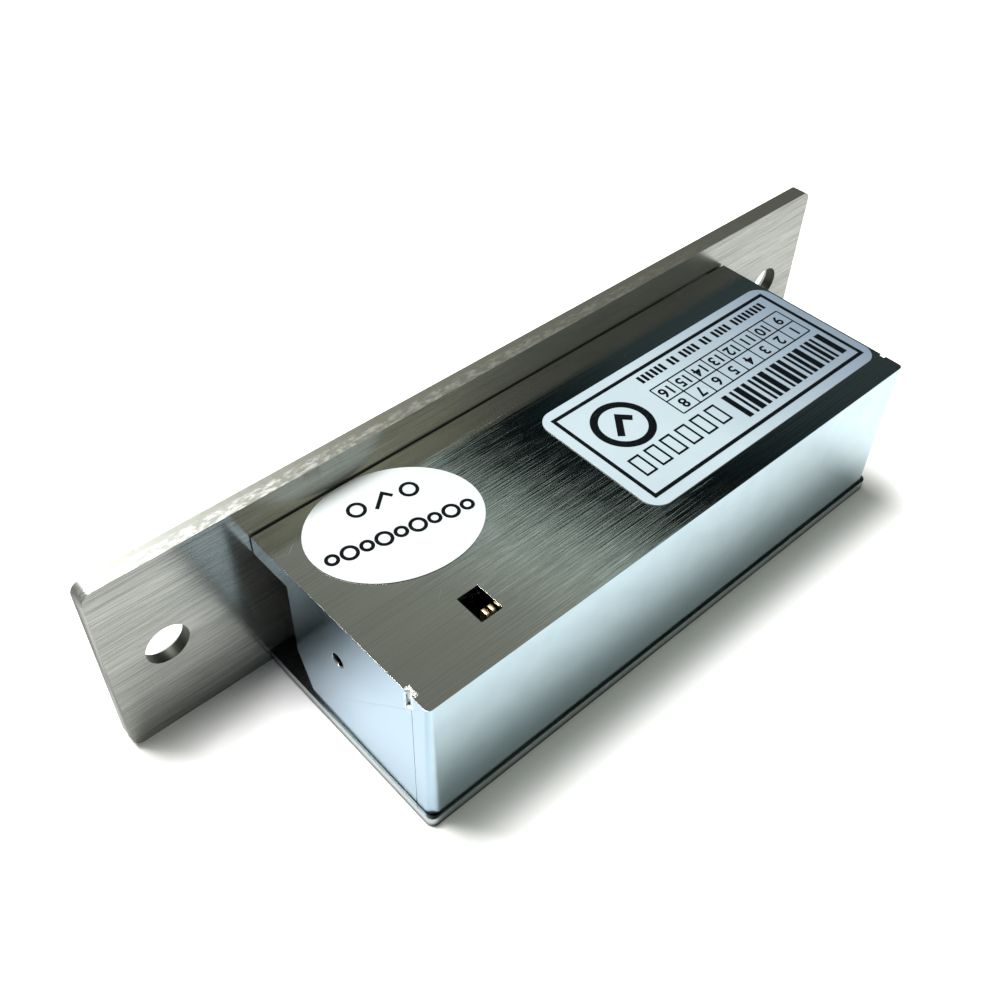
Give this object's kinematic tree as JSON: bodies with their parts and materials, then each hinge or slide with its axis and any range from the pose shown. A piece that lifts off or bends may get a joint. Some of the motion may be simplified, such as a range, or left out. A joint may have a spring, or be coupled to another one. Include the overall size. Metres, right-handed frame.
{
  "type": "electric door strike",
  "caption": "Electric door strike: a long faceplate with a shallow sheet-metal case behind it and a sprung keeper that a coil-driven lever locks.",
  "frame": {"origin": "centre of the faceplate's front face", "axes": "+X along the faceplate, +Y into the door frame, +Z across the faceplate, away from the side where the latch leaves"},
  "size_m": [0.15, 0.0419, 0.034],
  "materials": {
    "faceplate_steel": "stainless, brushed along its length, edges sawn",
    "case_steel": "sheet steel, brushed top, bright zinc on the walls",
    "cover_steel": "bright zinc-plated sheet",
    "cast_zinc": "rough die-cast zinc",
    "keeper_steel": "cast stainless, ground faces",
    "machined_steel": "turned and plated",
    "spring_steel": "drawn spring wire",
    "soft_iron": "plated soft iron",
    "copper_winding": "enamelled copper wire",
    "terminal_brass": "bright brass",
    "black_plastic": "moulded, matte",
    "white_plastic": "moulded nylon",
    "yellow_tape": "polyester tape",
    "red_insulation": "smooth insulation",
    "black_insulation": "smooth insulation",
    "label_film": "printed white film"
  },
  "bodies": {
    "housing": {"faceplate": "faceplate_steel", "housing_shell": "case_steel", "bottom_cover": "cover_steel", "cast_frame": "cast_zinc", "case_screw_left": "machined_steel", "case_screw_right": "machined_steel", "cover_screw_1": "machined_steel", "cover_screw_2": "machined_steel", "cover_screw_3": "machined_steel", "cover_screw_4": "machined_steel", "oval_label": "label_film", "main_label": "label_film", "keeper_pin": "machined_steel", "keeper_pin_clip": "spring_steel", "keeper_spring_left": "spring_steel", "keeper_spring_right": "spring_steel", "lever_pin": "machined_steel", "lever_pin_clip": "spring_steel", "lever_spring": "spring_steel", "solenoid_yoke": "soft_iron", "solenoid_end_plate": "soft_iron", "coil_bobbin": "white_plastic", "coil_winding": "copper_winding", "coil_tape": "yellow_tape", "fixed_core": "soft_iron", "solenoid_screw_1": "machined_steel", "solenoid_screw_2": "machined_steel", "terminal_block": "black_plastic", "terminal_contact_1": "terminal_brass", "terminal_contact_2": "terminal_brass", "terminal_screw_1": "terminal_brass", "terminal_screw_2": "terminal_brass", "coil_lead_red": "red_insulation", "coil_lead_black": "black_insulation"},
    "keeper": {"keeper": "keeper_steel"},
    "lock_lever": {"lock_lever": "machined_steel"},
    "plunger": {"plunger": "soft_iron", "plunger_pin": "machined_steel"}
  },
  "joints": [
    {"name": "keeper_swing", "type": "hinge", "parent": "housing", "child": "keeper", "pos_m": [0, 0.02, -0.009], "axis": [1, 0, 0], "range_deg": [0, 70], "stiffness_Nm_per_rad": 0.02, "springref_deg": -34.38, "deforming": ["keeper_spring_left", "keeper_spring_right"]},
    {"name": "lever_swing", "type": "hinge", "parent": "housing", "child": "lock_lever", "pos_m": [-0.014, 0.036, -0.002], "axis": [0, 0, 1], "range_deg": [-12, 0], "stiffness_Nm_per_rad": 0.004, "springref_deg": 28.65, "deforming": ["lever_spring"]},
    {"name": "plunger_slide", "type": "slide", "parent": "housing", "child": "plunger", "axis": [1, 0, 0], "range_m": [-0.00167, 0]}
  ],
  "couplings": [
    {"joint": "lever_swing", "follows": "plunger_slide", "rad_per_m": 125}
  ]
}
